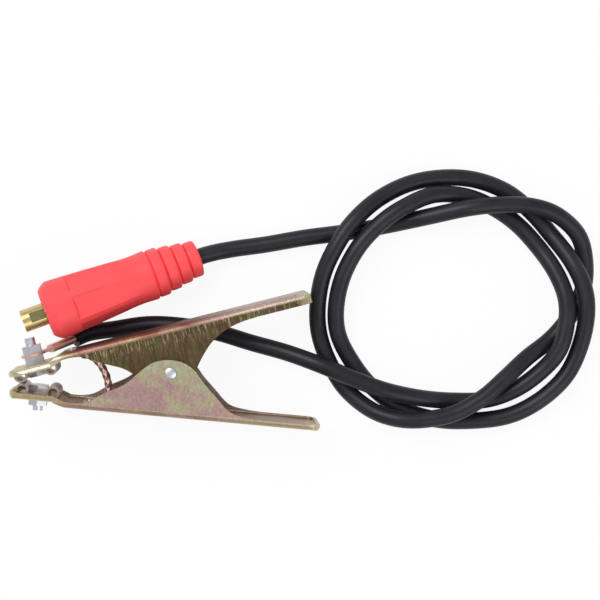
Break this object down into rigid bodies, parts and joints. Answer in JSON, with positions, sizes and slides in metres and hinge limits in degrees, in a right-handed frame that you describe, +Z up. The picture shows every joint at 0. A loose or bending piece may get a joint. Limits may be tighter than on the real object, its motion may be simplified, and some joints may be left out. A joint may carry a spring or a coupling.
{
  "type": "welding earth clamp",
  "caption": "Spring-loaded pressed-steel earth clamp with copper contacts, a coiled black cable bolted to one jaw and a red bayonet plug at the cable's end.",
  "frame": {"origin": "on the table, under the middle of the clamp without its cable and plug", "axes": "+X from the jaws to the grips, +Y to the side that the cable and plug lie on, +Z up from the table"},
  "size_m": [0.3427, 0.1558, 0.0492],
  "materials": {
    "yellow_zinc": "yellow-passivated zinc on pressed steel",
    "bright_zinc": "bright zinc",
    "copper": "bare copper",
    "contact_copper": "dull plated copper",
    "brass": "turned brass",
    "spring_steel": "dark spring steel",
    "black_rubber": "matt black rubber",
    "red_rubber": "matt coral-red rubber"
  },
  "bodies": {
    "upper_side": {"upper_handle": "yellow_zinc", "upper_contact": "contact_copper", "upper_bolt": "bright_zinc", "upper_seat_nut": "bright_zinc", "upper_clamp_nut": "bright_zinc", "cable_lug": "copper", "lug_strand": "copper", "cable_jacket": "black_rubber", "plug_sleeve": "red_rubber", "plug_pin_body": "brass", "plug_screws": "bright_zinc", "plug_ferrule": "copper", "plug_strand": "copper", "shunt_braid": "copper", "upper_shunt_tab": "copper", "upper_tab_rivet": "bright_zinc", "torsion_spring": "spring_steel"},
    "lower_side": {"lower_handle": "yellow_zinc", "lower_contact": "contact_copper", "lower_bolt": "bright_zinc", "lower_nut": "bright_zinc", "lower_shunt_tab": "copper", "lower_tab_rivet": "bright_zinc", "pivot_rivet": "bright_zinc"}
  },
  "joints": [
    {"name": "jaw_hinge", "type": "hinge", "parent": "upper_side", "child": "lower_side", "pos_m": [0.0023, -0.0061, 0.0258], "axis": [0.087, -0.061, 0.9943], "range_deg": [0, 16], "stiffness_Nm_per_rad": 11, "springref_deg": -20.63, "deforming": ["torsion_spring", "shunt_braid"]}
  ]
}
